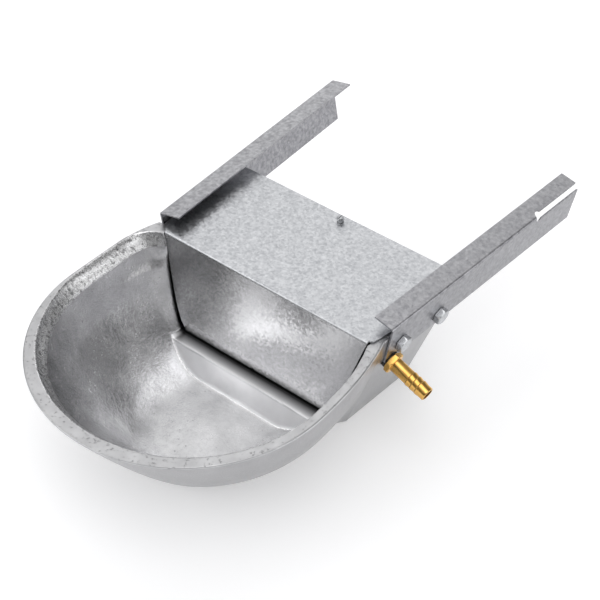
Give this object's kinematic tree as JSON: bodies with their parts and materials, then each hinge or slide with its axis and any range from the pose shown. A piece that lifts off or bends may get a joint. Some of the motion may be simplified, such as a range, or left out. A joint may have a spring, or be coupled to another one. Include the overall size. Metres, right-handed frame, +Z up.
{
  "type": "pig drinker",
  "caption": "Pig drinker: cast aluminium bowl with a galvanised float-chamber cover and baffle, angle brackets, a barbed brass inlet and a float valve inside.",
  "frame": {"origin": "on the flat underside of the casting, straight below the middle of the cover's front fold", "axes": "+Z up, +Y back along the brackets, +X towards the hose tail"},
  "size_m": [0.2857, 0.4807, 0.1271],
  "materials": {
    "cast_aluminium": "bright tumbled casting with pits along the rim",
    "galvanised_steel": "hot-dip galvanised sheet with a fine mottle",
    "zinc_plated_steel": "satin zinc plate",
    "brass": "turned brass, semi-bright",
    "black_rubber": "matt black rubber",
    "white_acetal": "turned white plastic",
    "float_foam": "closed-cell foam, dark grey"
  },
  "bodies": {
    "housing": {"basin": "cast_aluminium", "bolt_left_front": "zinc_plated_steel", "bolt_left_rear": "zinc_plated_steel", "bolt_nut_left_front": "zinc_plated_steel", "bolt_nut_left_rear": "zinc_plated_steel", "bolt_nut_right_front": "zinc_plated_steel", "bolt_nut_right_rear": "zinc_plated_steel", "bolt_right_front": "zinc_plated_steel", "bolt_right_rear": "zinc_plated_steel", "bolt_washer_left_front": "zinc_plated_steel", "bolt_washer_left_rear": "zinc_plated_steel", "bolt_washer_right_front": "zinc_plated_steel", "bolt_washer_right_rear": "zinc_plated_steel", "cover": "galvanised_steel", "cover_screw": "zinc_plated_steel", "hose_tail": "brass", "inlet_seal": "black_rubber", "inlet_washer": "black_rubber", "left_bracket": "galvanised_steel", "pivot_pin": "zinc_plated_steel", "right_bracket": "galvanised_steel", "split_pin": "zinc_plated_steel", "valve_body": "brass"},
    "float_arm": {"float_arm": "brass", "float": "float_foam", "float_bolt": "zinc_plated_steel", "float_washer": "zinc_plated_steel", "float_nut": "zinc_plated_steel"},
    "plunger": {"plunger": "white_acetal", "plunger_seal": "black_rubber"}
  },
  "joints": [
    {"name": "float_hinge", "type": "hinge", "parent": "housing", "child": "float_arm", "pos_m": [0.06732, 0.0283, 0.08834], "axis": [0.0645, 0.9979, 0], "range_deg": [0, 14]},
    {"name": "plunger_slide", "type": "slide", "parent": "housing", "child": "plunger", "axis": [0.9485, -0.0613, -0.3107], "range_m": [0, 0.0016]}
  ],
  "couplings": [
    {"joint": "plunger_slide", "follows": "float_hinge", "m_per_rad": 0.0065}
  ]
}
